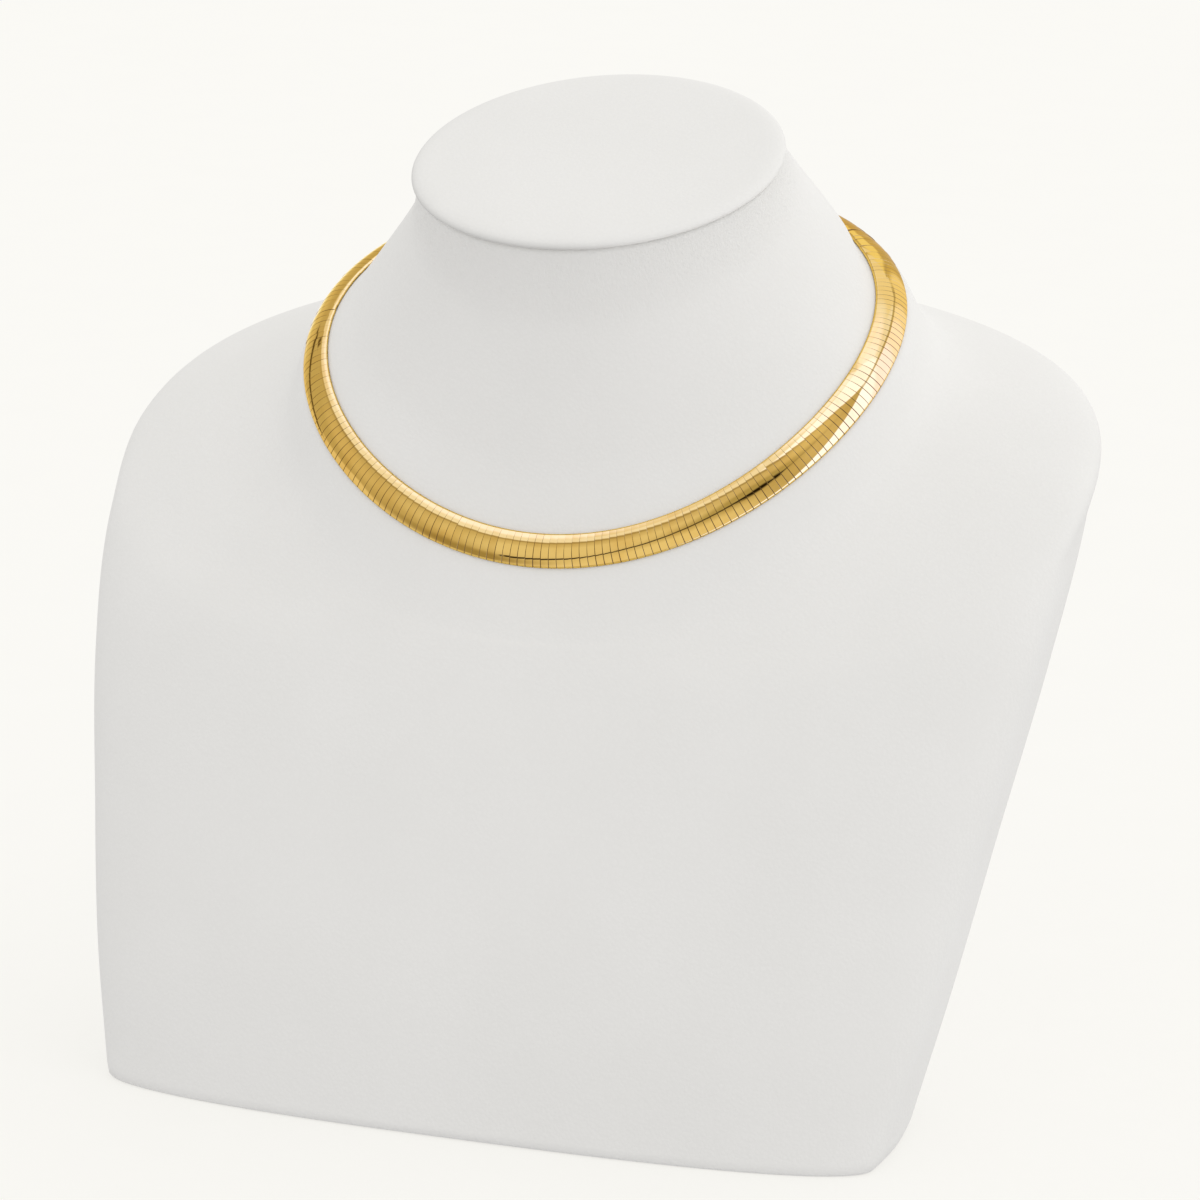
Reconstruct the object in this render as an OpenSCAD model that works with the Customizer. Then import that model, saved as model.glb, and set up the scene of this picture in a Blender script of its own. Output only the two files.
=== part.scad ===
// Omega necklace on a neck bust.
// Millimetres, +Z up. The bust faces -Y and +X is its left shoulder, on the viewer's right.
// The origin is the middle of the flat base.

/* [Bust] */
// Width across the shoulders
bust_w = 230; // [224:1:240]
// Depth of the flat base from front to back
bust_d = 102; // [98:1:108]
// Height to the highest edge of the top disc
bust_h = 220; // [216:1:226]
// Run of the neck's flare, from the band's middle line down its slope
flare_l = 18.4; // [16:0.2:20]
// How far the flare falls below the band's slope at the back of the neck
flare_drop = 12.4; // [9:0.2:14]

/* [Top disc] */
// Width of the oval disc
disc_w = 86; // [80:1:90]
// Depth of the oval disc along its slope
disc_d = 76.8; // [72:0.4:80]
// Thickness of the disc
disc_t = 2.3; // [2:0.1:3.2]
// Slope of the disc, higher at the back, in degrees
disc_tilt = 20.6; // [16:0.2:24]

/* [Necklace loop] */
// Width of the loop between the middle lines of the band
loop_w = 134.6; // [130:0.2:138]
// Depth of the loop along its slope
loop_d = 120.6; // [117:0.2:124]
// Slope of the loop, higher at the back, in degrees
loop_tilt = 32; // [30:0.5:34]
// How far the sides of the loop ride up over the shoulders
loop_saddle = 6.8; // [5:0.2:8]
// Lean of the band at the front, 90 would lay it flat across the loop
lean_front = 56; // [52:1:60]
// Lean of the band at the back
lean_back = 35; // [30:1:40]

/* [Band] */
// Width of the band from edge to edge
band_w = 7.8; // [7.4:0.1:8]
// Rise of the domed face over its edges
band_rise = 1.1; // [0.9:0.1:1.4]
// Height of the upright edges under the dome
edge_h = 0.5; // [0.45:0.05:0.7]
// Thickness of the sheet the plates are folded from
sheet_t = 0.3; // [0.2:0.02:0.34]
// Width of the lip that folds in under each edge
lip_w = 1.8; // [1.6:0.1:2.2]
// Distance from one plate to the next along the middle line
plate_pitch = 1.8; // [1.75:0.05:2.2]
// Length of one plate along the band
plate_l = 1.55; // [1.3:0.05:1.55]

/* [Fastening] */
// Length of each end cap along the band
end_cap_l = 4.6; // [3.6:0.2:5.2]
// Length of the clasp along the band
clasp_l = 8.8; // [7:0.2:9.6]

/* [Hidden] */
half_w = bust_w / 2;
half_d = bust_d / 2;
fit_gap = 0.15;
step_gap = 0.12;
end_rise = band_rise + 0.15;
end_w = band_w + 0.3;

// Points in every ring of the bust and disc, and the height between two rings
ring_points = 60;
ring_step = 4.6;

// Egg shape of the loop as a share, and how far its front hangs lower than an even saddle
loop_egg = 0.06;
loop_lift = 1;

// Middle points of the loop and of the disc's top face
loop_c = [0, 0.784 * half_d, 0.741 * bust_h];
disc_c = [0, 0.625 * half_d, 0.9415 * bust_h];

loop_up = [0, -sin(loop_tilt), cos(loop_tilt)];
disc_back = [0, cos(disc_tilt), sin(disc_tilt)];
disc_up = [0, -sin(disc_tilt), cos(disc_tilt)];

// Slanting rings from the base up over the shoulders.
// Columns: front_y and back_y as shares of half_d, front_z and back_z as shares of bust_h,
// widest as a share of half_w, widest_y as a share of half_d, roundness, side_lift of bust_h
FRONT_Y = 0;
FRONT_Z = 1;
BACK_Y = 2;
BACK_Z = 3;
WIDEST = 4;
WIDEST_Y = 5;
ROUNDNESS = 6;
SIDE_LIFT = 7;
CHEST = [
    [-1.00, 0.000, 1.00, 0.000, 0.805, -0.69, 2.4, 0.000],
    [-0.90, 0.114, 1.12, 0.150, 0.863, -0.48, 2.5, 0.009],
    [-0.735, 0.236, 1.355, 0.327, 0.914, -0.225, 2.6, 0.013],
    [-0.55, 0.351, 1.69, 0.497, 0.969, 0.095, 2.6, 0.038],
    [-0.40, 0.429, 2.035, 0.648, 1.000, 0.44, 2.4, 0.062],
    [-0.317, 0.470, 2.29, 0.730, 0.983, 0.727, 2.0, 0.070],
];

// Rows where the band lies on the bust, measured across the band from its middle line
SEAT = [5, 4, 0, -4, -5];

// Rings of the neck. Columns: height between band and disc, share of the band's outline,
// both as shares
NECK = [
    [0.24, 0.73],
    [0.69, 0.195],
    [0.88, 0.05],
];
neck_hollow = 0.112 * half_d;

// How far the neck's top edge stays in from the disc's largest outline
collar_inset = 1.0;

// Outline of the disc's rim. Columns: depth under the top face and inset from the
// largest outline, as shares of the thickness
RIM = [
    [0.00, 1.70],
    [0.05, 1.10],
    [0.17, 0.56],
    [0.38, 0.16],
    [0.62, 0.00],
    [0.82, 0.04],
    [0.95, 0.16],
    [1.00, 0.34],
];

function unit(v) = v / norm(v);
function total(v) = v * [for (x = v) 1];
function power(x, e) = sign(x) * pow(abs(x), e);

// The loop: angle 0 is the front, 90 the +X side, 180 the back
function loop_point(a) =
    let (side = loop_w / 2 * sin(a) * (1 + loop_egg * cos(a)))
    let (back = -loop_d / 2 * cos(a))
    let (down = loop_saddle * cos(2 * a) + loop_lift * cos(3 * a))
    loop_c + [side, back * cos(loop_tilt), back * sin(loop_tilt)] - down * loop_up;

function along(a) = unit(loop_point(a + 0.5) - loop_point(a - 0.5));
function lean(a) = lean_front - (lean_front - lean_back) * pow(max(-cos(a), 0), 2);

// Directions of the band at an angle: across towards its upper edge, and out of its face
function outward(a) = unit(cross(along(a), loop_up));
function across(a) = cos(lean(a)) * cross(outward(a), along(a)) - sin(lean(a)) * outward(a);
function out(a) = sin(lean(a)) * cross(outward(a), along(a)) + cos(lean(a)) * outward(a);
function spot(a, x, y) = loop_point(a) + x * across(a) + y * out(a);

// Length along the loop against the angle
ARC = [for (a = 0, s = 0; a <= 360; s = s + norm(loop_point(a + 1) - loop_point(a)), a = a + 1)
    [s, a]];
loop_l = ARC[360][0];
function angle_at(s) = lookup(s < 0 ? s + loop_l : s, ARC);

// The fastening sits in the middle of the back and the plates fill what is left
back_l = clasp_l + 2 * (end_cap_l + fit_gap);
end_s = (loop_l - clasp_l) / 2 - fit_gap;
plate_s = (loop_l - back_l) / 2 - fit_gap;
plate_n = 2 * floor((plate_s - plate_l / 2) / plate_pitch) + 1;

// Closed skin over rings that all have the same number of points
module skin(rings) {
    m = len(rings[0]);
    n = len(rings);
    sides = [for (i = [0:n - 2]) for (j = [0:m - 1])
        each [[i * m + j, i * m + m + j, i * m + m + (j + 1) % m],
              [i * m + j, i * m + m + (j + 1) % m, i * m + (j + 1) % m]]];
    first = [for (j = [0:m - 1]) j];
    last = [for (j = [m - 1:-1:0]) (n - 1) * m + j];
    polyhedron(points = [for (r = rings) each r], faces = concat(sides, [first, last]));
}

// A section swept along the loop between two lengths
module sweep(section, from, to, steps) {
    skin([for (i = [0:steps])
        let (a = angle_at(from + (to - from) * i / steps))
        [for (q = section) spot(a, q[0], q[1])]]);
}

// Domed section with upright edges, its base a little over the bust
function dome_radius(w, rise) = (w * w / 4 + rise * rise) / (2 * rise);
function dome(w, rise) =
    let (r = dome_radius(w, rise))
    let (half = asin(w / 2 / r))
    concat([[w / 2, -edge_h]],
           [for (i = [0:10]) r * [sin(half * (1 - i / 5)), cos(half * (1 - i / 5))] + [0, rise - r]],
           [[-w / 2, -edge_h]]);

// One plate: a domed strip of sheet with its edges folded in under the core
module plate_section() {
    r = dome_radius(band_w, band_rise);
    difference() {
        intersection() {
            translate([0, band_rise - r])
                circle(r = r, $fn = 180);
            translate([-band_w / 2, -edge_h])
                square([band_w, edge_h + band_rise]);
        }
        intersection() {
            translate([0, band_rise - r])
                circle(r = r - sheet_t, $fn = 180);
            translate([sheet_t - band_w / 2, sheet_t - edge_h])
                square([band_w - 2 * sheet_t, edge_h + band_rise]);
        }
        translate([lip_w - band_w / 2, -2 * edge_h])
            square([band_w - 2 * lip_w, edge_h + 2 * sheet_t]);
    }
}

module omega_plates() {
    color([0.86, 0.69, 0.36])
        for (i = [0:plate_n - 1]) {
            a = angle_at((i - (plate_n - 1) / 2) * plate_pitch);
            x = across(a);
            y = out(a);
            z = cross(x, y);
            p = loop_point(a);
            multmatrix([[x[0], y[0], z[0], p[0]], [x[1], y[1], z[1], p[1]], [x[2], y[2], z[2], p[2]]])
                translate([0, 0, -plate_l / 2])
                    linear_extrude(plate_l)
                        plate_section();
        }
}

// Flat strip in the hollow of the plates, its ends held in the end caps
strip_w = band_w - 3;
strip_low = sheet_t + fit_gap - edge_h;
strip_high = hollow_height(strip_w / 2) - fit_gap;
strip_s = plate_s + 1.4;
function hollow_height(x) =
    let (r = dome_radius(band_w, band_rise))
    sqrt(pow(r - sheet_t, 2) - x * x) + band_rise - r;
function flat(w, low, high) = [[w / 2, low], [w / 2, high], [-w / 2, high], [-w / 2, low]];

module core_strip() {
    color([0.80, 0.62, 0.30])
        sweep(flat(strip_w, strip_low, strip_high), -strip_s, strip_s, 132);
}

module end_cap(side) {
    color([0.84, 0.67, 0.34])
        difference() {
            sweep(dome(end_w, end_rise), side * plate_s + (side > 0 ? fit_gap : -end_cap_l),
                  side * plate_s + (side > 0 ? end_cap_l : -fit_gap), 3);
            sweep(flat(strip_w + 2 * step_gap, strip_low - step_gap, strip_high + step_gap),
                  side * plate_s + (side > 0 ? -1 : -1.6), side * plate_s + (side > 0 ? 1.6 : 1), 2);
        }
}

module end_cap_left() {
    end_cap(-1);
}

module end_cap_right() {
    end_cap(1);
}

module clasp() {
    color([0.84, 0.67, 0.34])
        sweep(dome(band_w, band_rise), end_s + fit_gap, end_s + fit_gap + clasp_l, 4);
}

// Rings of the bust
function chest_ring(row) =
    let (share = (row[WIDEST_Y] - row[FRONT_Y]) / (row[BACK_Y] - row[FRONT_Y]))
    [for (i = [0:ring_points - 1])
        let (a = 360 * i / ring_points)
        let (x = power(sin(a), 2 / row[ROUNDNESS]))
        let (u = power(cos(a), 2 / row[ROUNDNESS]))
        let (t = u > 0 ? share * (1 - u) : share - (1 - share) * u)
        [half_w * row[WIDEST] * x,
         half_d * (row[FRONT_Y] + (row[BACK_Y] - row[FRONT_Y]) * t),
         bust_h * (row[FRONT_Z] + (row[BACK_Z] - row[FRONT_Z]) * t + row[SIDE_LIFT] * x * x)]];
function seat_ring(d) =
    [for (i = [0:ring_points - 1]) spot(360 * i / ring_points, -d, -edge_h - fit_gap)];
function flare_ring() =
    [for (i = [0:ring_points - 1])
        let (a = 360 * i / ring_points)
        spot(a, -flare_l, -edge_h - fit_gap - flare_drop * (1 - cos(a)) / 2)];
function disc_ring(depth, inset) =
    [for (i = [0:ring_points - 1])
        let (a = 360 * i / ring_points)
        disc_c + [(disc_w / 2 - inset) * sin(a), 0, 0]
            - (disc_d / 2 - inset) * cos(a) * disc_back - depth * disc_up];
function neck_ring(low, top, h, s) =
    [for (i = [0:ring_points - 1])
        [top[i][0] * (1 - s) + low[i][0] * s,
         top[i][1] * (1 - s) + low[i][1] * s + neck_hollow * sin(180 * h),
         top[i][2] * h + low[i][2] * (1 - h)]];

// Smooth rings between the chosen ones, evenly spread by the distance between them
function gap_between(p, q) = total([for (i = [0:len(p) - 1]) norm(q[i] - p[i])]) / len(p);
function slope(rows, keys, i) =
    let (a = max(i - 1, 0))
    let (b = min(i + 1, len(rows) - 1))
    (rows[b] - rows[a]) / (keys[b] - keys[a]);
function between(rows, keys, i, t) =
    let (h = keys[i + 1] - keys[i])
    (2 * t * t * t - 3 * t * t + 1) * rows[i] + (3 * t * t - 2 * t * t * t) * rows[i + 1]
        + (t * t * t - 2 * t * t + t) * h * slope(rows, keys, i)
        + (t * t * t - t * t) * h * slope(rows, keys, i + 1);

module bust_form() {
    low = seat_ring(SEAT[len(SEAT) - 1]);
    top = disc_ring(disc_t + fit_gap, collar_inset);
    rows = concat([for (r = CHEST) chest_ring(r)], [flare_ring()], [for (d = SEAT) seat_ring(d)],
                  [for (r = NECK) neck_ring(low, top, r[0], r[1])], [top]);
    n = len(rows);
    keys = [for (i = 0, s = 0; i < n; s = s + (i < n - 1 ? gap_between(rows[i], rows[i + 1]) : 0), i = i + 1)
        s];
    rings = [for (i = [0:n - 2])
        let (steps = max(1, round((keys[i + 1] - keys[i]) / ring_step)))
        for (k = [0:steps - 1]) between(rows, keys, i, k / steps)];
    color([0.92, 0.92, 0.90])
        skin(concat(rings, [top]));
}

module neck_disc() {
    color([0.95, 0.95, 0.93])
        skin([for (i = [len(RIM) - 1:-1:0]) disc_ring(disc_t * RIM[i][0], disc_t * RIM[i][1])]);
}

bust_form();
neck_disc();
core_strip();
omega_plates();
end_cap_left();
end_cap_right();
clasp();
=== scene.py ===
"""Omega necklace in polished yellow gold, lying on a neck bust covered in white leatherette."""

import sys

import logging
import math
from dataclasses import dataclass, field
from enum import Enum
from typing import Any

import bpy
import numpy as np
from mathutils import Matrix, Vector


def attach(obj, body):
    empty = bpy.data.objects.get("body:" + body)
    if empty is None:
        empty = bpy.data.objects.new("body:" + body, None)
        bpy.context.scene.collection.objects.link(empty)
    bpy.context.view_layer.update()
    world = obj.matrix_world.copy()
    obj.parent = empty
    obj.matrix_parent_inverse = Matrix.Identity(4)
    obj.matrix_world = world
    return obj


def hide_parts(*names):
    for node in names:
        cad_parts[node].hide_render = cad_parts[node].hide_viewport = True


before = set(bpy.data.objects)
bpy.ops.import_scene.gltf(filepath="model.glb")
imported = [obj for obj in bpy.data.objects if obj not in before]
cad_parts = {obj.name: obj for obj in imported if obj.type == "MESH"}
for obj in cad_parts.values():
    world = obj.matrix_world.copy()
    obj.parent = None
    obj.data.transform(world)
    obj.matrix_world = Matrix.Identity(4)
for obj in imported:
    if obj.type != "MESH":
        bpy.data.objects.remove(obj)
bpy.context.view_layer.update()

LOG = logging.getLogger("necklace")
MM = 0.001
PITCH = 1.8  # from plate to plate along the band, in millimetres
Array = np.ndarray
Socket = bpy.types.NodeSocket
Pair = tuple[float, float]
Pairs = tuple[Pair, ...]
Triple = tuple[float, float, float]
Colour = Triple


class Slot(Enum):
    """The record's material slots."""

    GOLD = "gold"
    LEATHERETTE = "leatherette"


# ---- shapes


def unit(vectors: Array) -> Array:
    """Vectors scaled to length one along the last axis."""
    return vectors / np.linalg.norm(vectors, axis=-1, keepdims=True)


def hermite(t: Any, start: Any, end: Any, leave: Any, arrive: Any) -> Any:
    """Point of a smooth curve between two ends.

    Args:
        t: Share of the way from the start to the end.
        start: Value at the start.
        end: Value at the end.
        leave: Slope at the start, over the whole way.
        arrive: Slope at the end, over the whole way.

    Returns:
        The value at that share.
    """
    ends = (2 * t**3 - 3 * t**2 + 1) * start + (3 * t**2 - 2 * t**3) * end
    return ends + (t**3 - 2 * t**2 + t) * leave + (t**3 - t**2) * arrive


def smooth_curve(keys: Array, values: Array, places: Array) -> Array:
    """Values at places along a smooth curve through the given keys and values."""
    slopes = np.gradient(values, keys)
    i = np.clip(np.searchsorted(keys, places, side="right") - 1, 0, len(keys) - 2)
    gap = keys[i + 1] - keys[i]
    t = (places - keys[i]) / gap
    return hermite(t, values[i], values[i + 1], gap * slopes[i], gap * slopes[i + 1])


@dataclass
class Skin:
    """A closed mesh over rings that all have the same number of points.

    Args:
        rings: Points in millimetres, one row of points for each ring.
        lengths: Texture position of each ring along the skin; round a ring it goes from 0 to 1.
        normals: Own normals in the same layout as the rings, where they are given.
    """

    rings: Array
    lengths: Array
    normals: Array | None = None

    def faces(self) -> tuple[list[tuple[int, ...]], list[Pair]]:
        """Faces by vertex number, and the texture position of each face corner.

        Returns:
            The faces, and one texture position for each of their corners.
        """
        count, points = self.rings.shape[:2]
        turns = np.arange(points + 1) / points
        faces: list[tuple[int, ...]] = []
        corners: list[Pair] = []
        for i in range(count - 1):
            low, high = i * points, (i + 1) * points
            for j in range(points):
                k = (j + 1) % points
                faces.append((low + j, low + k, high + k, high + j))
                a, b = self.lengths[i], self.lengths[i + 1]
                u, v = turns[j], turns[j + 1]
                corners.extend(((a, u), (a, v), (b, v), (b, u)))
        for low, order, at in ((0, -1, 0), ((count - 1) * points, 1, -1)):
            ends = list(range(points))[::order]
            faces.append(tuple(low + j for j in ends))
            corners.extend((self.lengths[at], turns[j]) for j in ends)
        return faces, corners

    def piece(self, name: str) -> bpy.types.Object:
        """Makes the object, with smooth faces, and links it to the scene.

        Args:
            name: The piece's name.

        Returns:
            The new object, in metres.
        """
        faces, corners = self.faces()
        mesh = bpy.data.meshes.new(name)
        mesh.from_pydata((self.rings.reshape(-1, 3) * MM).tolist(), [], faces)
        layer = mesh.uv_layers.new(name="lay")
        layer.data.foreach_set("uv", np.array(corners, dtype=np.float32).ravel())
        mesh.validate()
        mesh.shade_smooth()
        if self.normals is not None:
            mesh.normals_split_custom_set_from_vertices(self.normals.reshape(-1, 3).tolist())
        thing = bpy.data.objects.new(name, mesh)
        bpy.context.scene.collection.objects.link(thing)
        return thing


@dataclass(frozen=True)
class LoopPath:
    """The line that the band follows round the neck, in millimetres and degrees.

    Angle 0 is the front, 90 the +X side and 180 the back.
    """

    width: float = 134.6
    depth: float = 120.6
    tilt: float = 32.0
    saddle: float = 6.8
    lift: float = 1.0
    egg: float = 0.06
    lean_front: float = 56.0
    lean_back: float = 35.0
    middle: Triple = (0.0, 39.984, 163.02)

    def rise(self) -> Array:
        """Direction square to the loop, towards its upper side."""
        tilt = math.radians(self.tilt)
        return np.array([0.0, -math.sin(tilt), math.cos(tilt)])

    def point(self, angle: Array) -> Array:
        """Points of the loop at angles in degrees."""
        a = np.radians(np.asarray(angle, float))
        tilt = math.radians(self.tilt)
        back = -self.depth / 2 * np.cos(a)
        down = self.saddle * np.cos(2 * a) + self.lift * np.cos(3 * a)
        side = self.width / 2 * np.sin(a) * (1 + self.egg * np.cos(a))
        flat = np.stack([side, back * math.cos(tilt), back * math.sin(tilt)], -1)
        return np.array(self.middle) + flat - down[..., None] * self.rise()

    def axes(self, angle: Array) -> tuple[Array, Array, Array]:
        """Directions of the band at angles in degrees.

        Args:
            angle: Angles round the loop.

        Returns:
            Across towards the upper edge, out of the face, and along the band.
        """
        a = np.asarray(angle, float)
        along = unit(self.point(a + 0.5) - self.point(a - 0.5))
        outward = unit(np.cross(along, self.rise()))
        upright = np.cross(outward, along)
        back = np.maximum(-np.cos(np.radians(a)), 0) ** 2
        lean = np.radians(self.lean_front - (self.lean_front - self.lean_back) * back)[..., None]
        across = np.cos(lean) * upright - np.sin(lean) * outward
        out = np.sin(lean) * upright + np.cos(lean) * outward
        return across, out, np.cross(across, out)

    def spot(self, angle: Array, across: float, out: float) -> Array:
        """Points off the loop, by distances across the band and out of its face."""
        x, y, _ = self.axes(angle)
        return self.point(angle) + across * x + out * y

    def arc(self) -> tuple[Array, Array]:
        """Lengths along the loop, and the angles that they belong to."""
        angles = np.arange(361.0)
        steps = np.linalg.norm(np.diff(self.point(angles), axis=0), axis=1)
        return np.concatenate([[0.0], np.cumsum(steps)]), angles

    def length(self) -> float:
        """Length of the whole loop."""
        return float(self.arc()[0][-1])

    def angle_at(self, length: Array) -> Array:
        """Angles at lengths along the loop, counted from the front."""
        lengths, angles = self.arc()
        return np.interp(np.mod(length, lengths[-1]), lengths, angles)


@dataclass(frozen=True)
class DomeSection:
    """Domed strip of sheet with rounded upper edges, upright sides and folded lips.

    Its points and normals are given as across and out.
    """

    width: float = 7.8
    rise: float = 1.1
    side: float = 0.5
    sheet: float = 0.3
    lip: float = 1.8
    edge_radius: float = 0.7
    corner_radius: float = 0.12
    face_steps: int = 26

    def radius(self) -> float:
        """Radius of the dome."""
        return (self.width**2 / 4 + self.rise**2) / (2 * self.rise)

    def outer(self) -> tuple[Array, Array]:
        """Points and normals of face and sides, from the lower right corner to the lower left one."""
        radius, edge, corner = self.radius(), self.edge_radius, self.corner_radius
        low = self.rise - radius
        edge_x = self.width / 2 - edge
        edge_y = low + math.sqrt((radius - edge) ** 2 - edge_x**2)
        turn = math.asin(edge_x / (radius - edge))
        arcs = (
            (self.width / 2 - corner, corner - self.side, corner, np.radians([180, 135, 90])),
            (edge_x, edge_y, edge, np.linspace(math.pi / 2, turn, 5)),
            (0.0, low, radius, np.linspace(turn, 0, self.face_steps // 2 + 1)[1:]),
        )
        n = np.concatenate([np.stack([np.sin(bends), np.cos(bends)], -1) for *_, bends in arcs])
        spots = np.concatenate([np.tile([x, y, size], (len(bends), 1)) for x, y, size, bends in arcs])
        p = spots[:, :2] + spots[:, 2:] * n
        flip = np.array([-1.0, 1.0])
        return np.vstack([p, p[-2::-1] * flip]), np.vstack([n, n[-2::-1] * flip])

    def inner(self) -> tuple[Array, Array]:
        """Points and normals of lips and hollow, from the lower left corner back to the right one."""
        half, sheet, foot, radius = self.width / 2, self.sheet, -self.side, self.radius()
        over, lip = foot + sheet, half - self.lip
        points = [(-lip, foot), (-lip, over), (sheet - half, over)]
        normals = [(0.7, -0.7), (0.7, 0.7), (0.7, 0.7)]
        for share in np.linspace(-1, 1, 7):
            x = share * (half - sheet)
            points.append((x, math.sqrt((radius - sheet) ** 2 - x * x) + self.rise - radius))
            normals.append((-0.4 * share, -1.0))
        points += [(half - sheet, over), (lip, over), (lip, foot)]
        normals += [(-0.7, 0.7), (-0.7, 0.7), (-0.7, -0.7)]
        return np.array(points), unit(np.array(normals))


# ---- node wiring


@dataclass
class Wiring:
    """Lays nodes in one tree and joins them."""

    tree: bpy.types.NodeTree

    def feed(self, socket: Socket, value: Any) -> None:
        """Links a socket to another one, or gives it a plain value."""
        if isinstance(value, Socket):
            self.tree.links.new(value, socket)
        else:
            socket.default_value = value

    def add(self, kind: str, feeds: dict | None = None, **settings: Any) -> bpy.types.Node:
        """Adds one node.

        Args:
            kind: Blender's name of the node type.
            feeds: Values or sockets by input name or number.
            settings: Properties of the node.

        Returns:
            The new node.
        """
        node = self.tree.nodes.new(kind)
        for name, value in settings.items():
            setattr(node, name, value)
        for key, value in (feeds or {}).items():
            self.feed(node.inputs[key], value)
        node.location = (200 * (len(self.tree.nodes) % 12), -240 * (len(self.tree.nodes) // 12))
        return node

    def maths(self, operation: str, first: Any, second: Any = 0.0, clamp: bool = False) -> Socket:
        """Result of one Math node."""
        node = self.add("ShaderNodeMath", {0: first, 1: second}, operation=operation, use_clamp=clamp)
        return node.outputs[0]

    def times(self, first: Any, second: Any) -> Socket:
        """Product of two values."""
        return self.maths("MULTIPLY", first, second)

    def plus(self, first: Any, second: Any) -> Socket:
        """Sum of two values."""
        return self.maths("ADD", first, second)

    def minus(self, first: Any, second: Any) -> Socket:
        """First value less the second."""
        return self.maths("SUBTRACT", first, second)

    def step(self, value: Any, low: Any, high: Any, to_low: float = 0.0,
             to_high: float = 1.0) -> Socket:
        """Smooth step of a value between two limits."""
        feeds = {"Value": value, "From Min": low, "From Max": high, "To Min": to_low, "To Max": to_high}
        return self.add("ShaderNodeMapRange", feeds, interpolation_type="SMOOTHSTEP").outputs[0]

    def blend(self, share: Any, first: Any, second: Any) -> Socket:
        """Mixes two colours by a share of the second."""
        node = self.add("ShaderNodeMix", data_type="RGBA")
        for number, value in ((0, share), (6, first), (7, second)):
            if isinstance(value, tuple) and len(value) == 3:
                value = (*value, 1.0)
            self.feed(node.inputs[number], value)
        return node.outputs[2]

    def noise(self, place: Any, scale: Any, detail: float = 2.0, rough: float = 0.5) -> Socket:
        """Noise value at a place."""
        feeds = {"Vector": place, "Scale": scale, "Detail": detail, "Roughness": rough}
        return self.add("ShaderNodeTexNoise", feeds).outputs[0]


@dataclass
class Effect:
    """A shader node group with named sockets, built once and placed in many trees.

    Args:
        name: The group's name.
        takes: Names and starting values of its inputs.
        gives: Names of its outputs, which are plain numbers.
    """

    name: str
    takes: dict[str, float | None]
    gives: tuple[str, ...]
    group: bpy.types.NodeTree = field(init=False)
    wiring: Wiring = field(init=False)
    ins: dict[str, Socket] = field(init=False)

    def __post_init__(self) -> None:
        """Makes the empty group with its sockets."""
        self.group = bpy.data.node_groups.new(self.name, "ShaderNodeTree")
        for name, start in self.takes.items():
            kind = "NodeSocketVector" if start is None else "NodeSocketFloat"
            socket = self.group.interface.new_socket(name, in_out="INPUT", socket_type=kind)
            if start is not None:
                socket.default_value = start
        for name in self.gives:
            self.group.interface.new_socket(name, in_out="OUTPUT", socket_type="NodeSocketFloat")
        self.wiring = Wiring(self.group)
        entry = self.wiring.add("NodeGroupInput")
        self.ins = {name: entry.outputs[name] for name in self.takes}

    def give(self, **values: Socket) -> "Effect":
        """Joins the results to the group's outputs by name."""
        self.wiring.add("NodeGroupOutput", values)
        return self

    def place(self, wiring: Wiring, **feeds: Any) -> bpy.types.Node:
        """Places the group in a tree, with its inputs fed by name."""
        return wiring.add("ShaderNodeGroup", feeds, node_tree=self.group)


def leather_grain() -> Effect:
    """Pebbled grain with fine creases and soft clouds of tone."""
    takes = {"Place": None, "Pebble": 1.0}
    effect = Effect("leather_grain", takes, ("Height", "Pores", "Clouds"))
    w, ins = effect.wiring, effect.ins
    cells = w.times(ins["Pebble"], 1150.0)
    pebble = w.add("ShaderNodeTexVoronoi", {"Vector": ins["Place"], "Scale": cells, "Randomness": 0.9})
    bulge = w.step(pebble.outputs["Distance"], 0.75, 0.15)
    fine = w.noise(ins["Place"], w.times(ins["Pebble"], 2100.0), 1.0, 0.6)
    height = w.plus(w.times(bulge, 0.55), w.times(fine, 0.45))
    clouds = w.noise(ins["Place"], 26.0, 3.0, 0.55)
    return effect.give(Height=height, Pores=w.minus(1.0, bulge), Clouds=clouds)


def polish_wear() -> Effect:
    """Hairline scratches, smears and slow waves of polished metal."""
    takes = {"Place": None, "Smear": 1.0}
    effect = Effect("polish_wear", takes, ("Roughness", "Height", "Tarnish"))
    w, ins = effect.wiring, effect.ins
    stretched = w.add("ShaderNodeMapping", {"Vector": ins["Place"], "Scale": (1.0, 0.35, 9.0)})
    hair = w.noise(stretched.outputs[0], 700.0, 4.0, 0.7)
    hairline = w.step(hair, 0.58, 0.72)
    smear = w.noise(ins["Place"], w.times(ins["Smear"], 120.0), 3.0, 0.6)
    rough = w.plus(w.times(hairline, 0.05), w.step(smear, 0.35, 0.8, 0.018, 0.07))
    wave = w.noise(ins["Place"], 240.0, 1.0, 0.4)
    height = w.plus(wave, w.times(hairline, 0.02))
    return effect.give(Roughness=rough, Height=height, Tarnish=w.step(smear, 0.5, 0.85))


def seam_shadow() -> Effect:
    """Dark line where two plates meet, and a small tone of each plate's own."""
    effect = Effect("seam_shadow", {"Along": 0.0, "Width": 0.07}, ("Mask", "Tone"))
    w, ins = effect.wiring, effect.ins
    share = w.maths("FRACT", ins["Along"])
    edge = w.minus(0.5, w.maths("ABSOLUTE", w.minus(share, 0.5)))
    number = {"W": w.maths("FLOOR", ins["Along"])}
    tone = w.add("ShaderNodeTexWhiteNoise", number, noise_dimensions="1D").outputs["Value"]
    width = w.times(ins["Width"], w.plus(0.6, tone))
    mask = w.minus(1.0, w.step(edge, w.times(width, 0.35), width))
    return effect.give(Mask=mask, Tone=tone)


# ---- finishes


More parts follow.
